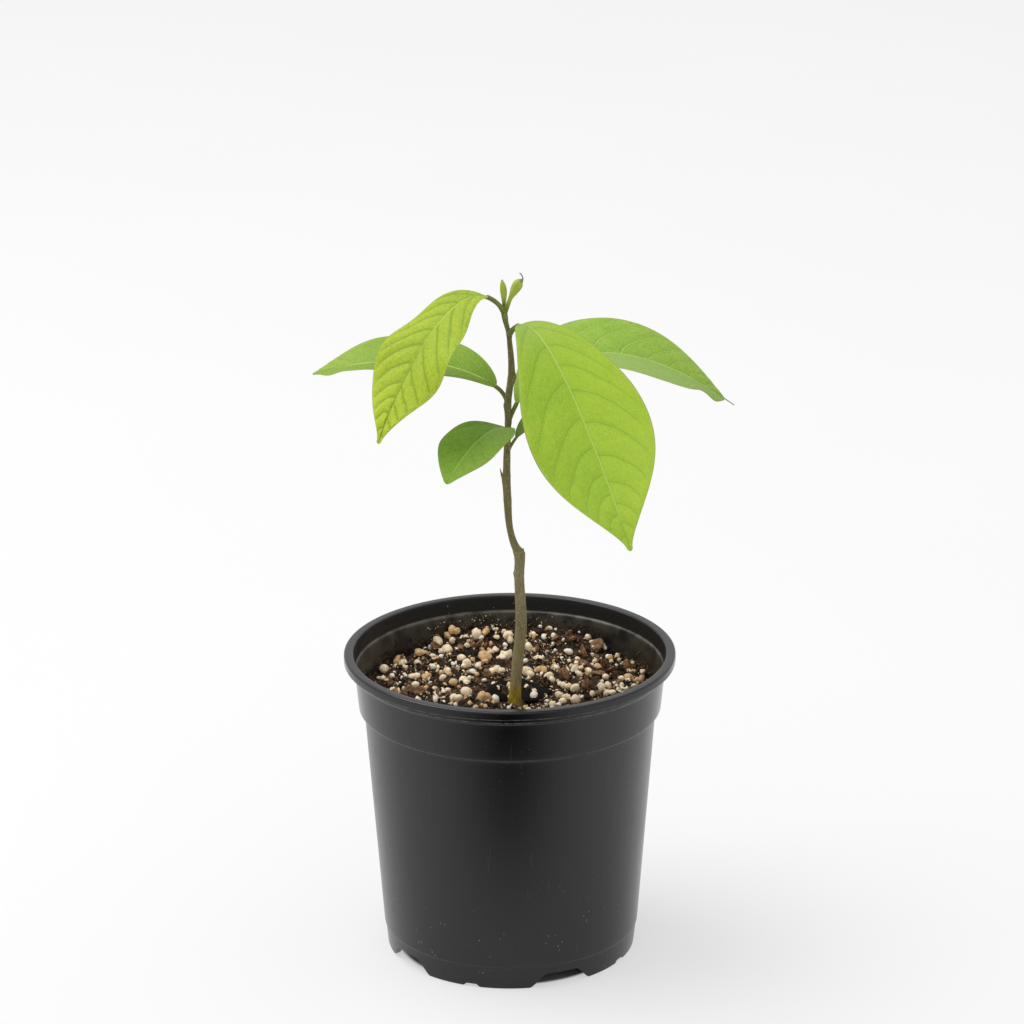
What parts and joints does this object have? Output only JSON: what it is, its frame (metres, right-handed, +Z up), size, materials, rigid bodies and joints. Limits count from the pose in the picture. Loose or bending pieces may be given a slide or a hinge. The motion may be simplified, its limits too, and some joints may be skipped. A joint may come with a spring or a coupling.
{
  "type": "potted young tree",
  "caption": "Young broadleaf tree with one slender stem and large drooping oval leaves, growing in a round black nursery pot.",
  "frame": {"origin": "on the pot's axis, in the plane that the pot stands on", "axes": "+Z up; -Y towards the side that the picture shows"},
  "size_m": [0.2085, 0.1855, 0.3548],
  "materials": {
    "pot_plastic": "satin",
    "potting_mix": "matte",
    "bark": "matte",
    "leaf_yellow_green": "satin",
    "leaf_bright_green": "satin",
    "leaf_mid_green": "satin",
    "leaf_dark_green": "satin",
    "young_shoot": "matte"
  },
  "bodies": {
    "root": {"nursery_pot": "pot_plastic", "potting_mix": "potting_mix", "trunk": "bark", "leaf_upper_left": "leaf_yellow_green", "leaf_front_right": "leaf_bright_green", "leaf_rear_right": "leaf_mid_green", "leaf_rear_left": "leaf_mid_green", "leaf_lower_left": "leaf_dark_green", "leaf_small_right": "leaf_dark_green", "shoot_narrow": "young_shoot", "shoot_broad": "young_shoot"}
  },
  "joints": []
}
